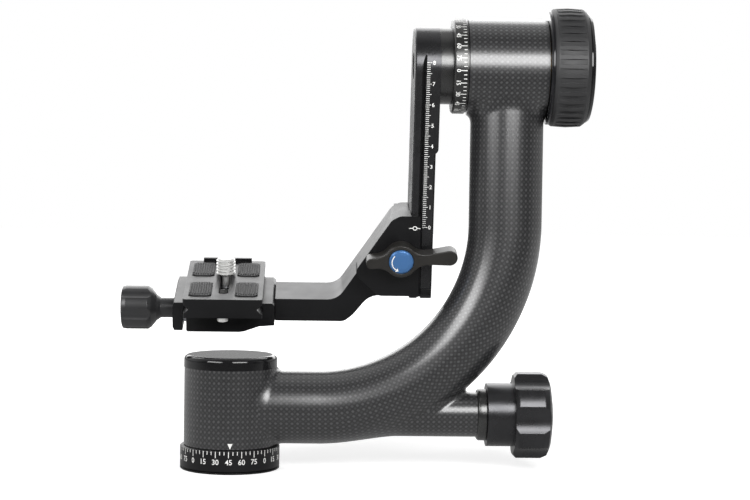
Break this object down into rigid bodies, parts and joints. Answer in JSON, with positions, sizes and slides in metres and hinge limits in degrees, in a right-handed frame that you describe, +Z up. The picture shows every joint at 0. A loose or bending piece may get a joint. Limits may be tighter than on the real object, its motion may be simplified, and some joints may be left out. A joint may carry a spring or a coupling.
{
  "type": "gimbal tripod head",
  "caption": "Side-mount gimbal head with a bent tube yoke that pans, a tilting rail arm and a height-adjustable cradle with a dovetail quick-release clamp and plate.",
  "frame": {"origin": "pan axis at the bottom face of the foot, at the mouth of the tripod socket", "axes": "+Z up along the pan axis, +X from the pan axis towards the upright tube and the tilt knob, -Y the operator's side with the height lever"},
  "size_m": [0.224, 0.088, 0.2209],
  "materials": {
    "anodised_black": "satin black anodised",
    "carbon_fibre": "woven carbon under clear gloss",
    "rubber": "matte",
    "bare_steel": "bright",
    "bearing_bronze": "machined",
    "blue_anodised": "satin blue anodised"
  },
  "bodies": {
    "base": {"base_plate": "anodised_black", "pan_dial_ring": "anodised_black", "pan_spindle": "bare_steel", "brake_drum": "bearing_bronze", "spindle_washer": "bare_steel", "spindle_nut": "bare_steel", "base_screws": "bare_steel"},
    "yoke": {"yoke_tube": "carbon_fibre", "pan_sleeve": "anodised_black", "pan_bearing_lower": "bare_steel", "pan_bearing_upper": "bare_steel", "pan_cap": "anodised_black", "lock_collar": "anodised_black", "rod_guide": "bearing_bronze", "tilt_sleeve": "anodised_black", "tilt_bearing_left": "bare_steel", "tilt_bearing_right": "bare_steel"},
    "pan_rod": {"pan_push_rod": "bare_steel", "pan_brake_shoe": "bearing_bronze"},
    "pan_knob": {"pan_lock_knob": "anodised_black", "pan_lock_screw": "bare_steel"},
    "swing_arm": {"swing_rail": "anodised_black", "tilt_hub": "anodised_black", "tilt_dial_ring": "anodised_black", "tilt_shaft": "bare_steel", "arm_screw": "bare_steel", "rail_stop": "anodised_black", "tilt_end_screw": "bare_steel"},
    "tilt_clamp": {"tilt_pressure_plate": "bare_steel", "tilt_friction_washer": "bearing_bronze"},
    "tilt_knob": {"tilt_knob_core": "anodised_black", "tilt_knob_grip": "rubber", "tilt_knob_cap": "anodised_black"},
    "bracket": {"platform_bracket": "anodised_black", "lever_stud": "bare_steel", "clamp_base": "anodised_black", "clamp_screws": "bare_steel"},
    "front_jaw": {"rail_jaw": "anodised_black"},
    "lever": {"height_lever": "anodised_black", "lever_cap": "blue_anodised"},
    "moving_jaw": {"clamp_jaw": "anodised_black", "jaw_pins": "bare_steel"},
    "plate_knob": {"clamp_screw": "bare_steel", "clamp_knob": "anodised_black"},
    "plate": {"quick_plate": "anodised_black", "plate_pads": "rubber", "plate_stop_screws": "bare_steel"},
    "screw_slider": {"screw_washer": "bare_steel"},
    "camera_stud": {"camera_screw": "bare_steel"}
  },
  "joints": [
    {"name": "pan", "type": "hinge", "parent": "base", "child": "yoke", "pos_m": [0, 0, 0.03], "axis": [0, 0, 1], "continuous": true},
    {"name": "pan_lock_travel", "type": "slide", "parent": "yoke", "child": "pan_rod", "axis": [1, 0, 0], "range_m": [0, 0.00188]},
    {"name": "pan_lock_turn", "type": "hinge", "parent": "pan_rod", "child": "pan_knob", "pos_m": [0.14, 0, 0.0264], "axis": [1, 0, 0], "range_deg": [0, 540]},
    {"name": "tilt", "type": "hinge", "parent": "yoke", "child": "swing_arm", "pos_m": [0.1301, 0, 0.1927], "axis": [1, 0, 0], "continuous": true},
    {"name": "tilt_lock_travel", "type": "slide", "parent": "swing_arm", "child": "tilt_clamp", "axis": [1, 0, 0], "range_m": [0, 0.0015]},
    {"name": "tilt_lock_turn", "type": "hinge", "parent": "tilt_clamp", "child": "tilt_knob", "pos_m": [0.16, 0, 0.1927], "axis": [1, 0, 0], "range_deg": [0, 360]},
    {"name": "height", "type": "slide", "parent": "swing_arm", "child": "bracket", "axis": [0, -0.2588, 0.9659], "range_m": [0, 0.073]},
    {"name": "front_jaw_travel", "type": "slide", "parent": "bracket", "child": "front_jaw", "axis": [0, -0.9659, -0.2588], "range_m": [0, 0.0005001]},
    {"name": "lever_turn", "type": "hinge", "parent": "front_jaw", "child": "lever", "pos_m": [0.08045, -0.00124, 0.10075], "axis": [0, -0.9659, -0.2588], "range_deg": [0, 90]},
    {"name": "plate_jaw_travel", "type": "slide", "parent": "bracket", "child": "moving_jaw", "axis": [-1, 0, 0], "range_m": [0, 0.003]},
    {"name": "plate_knob_turn", "type": "hinge", "parent": "moving_jaw", "child": "plate_knob", "pos_m": [-0.04, 0.03189, 0.0737], "axis": [-1, 0, 0], "range_deg": [0, 720]},
    {"name": "plate_travel", "type": "slide", "parent": "bracket", "child": "plate", "axis": [0, 0.9659, 0.2588], "range_m": [-0.0043, 0.0043]},
    {"name": "screw_travel", "type": "slide", "parent": "plate", "child": "screw_slider", "axis": [0, 0.9659, 0.2588], "range_m": [-0.027, 0.0034]},
    {"name": "camera_screw_turn", "type": "hinge", "parent": "screw_slider", "child": "camera_stud", "pos_m": [-0.0043, 0.0349, 0.09335], "axis": [0, -0.2588, 0.9659], "continuous": true}
  ],
  "couplings": [
    {"joint": "pan_lock_travel", "follows": "pan_lock_turn", "m_per_rad": 0.00019894},
    {"joint": "tilt_lock_travel", "follows": "tilt_lock_turn", "m_per_rad": 0.00023873},
    {"joint": "front_jaw_travel", "follows": "lever_turn", "m_per_rad": 0.00031831},
    {"joint": "plate_jaw_travel", "follows": "plate_knob_turn", "m_per_rad": 0.00023873}
  ]
}
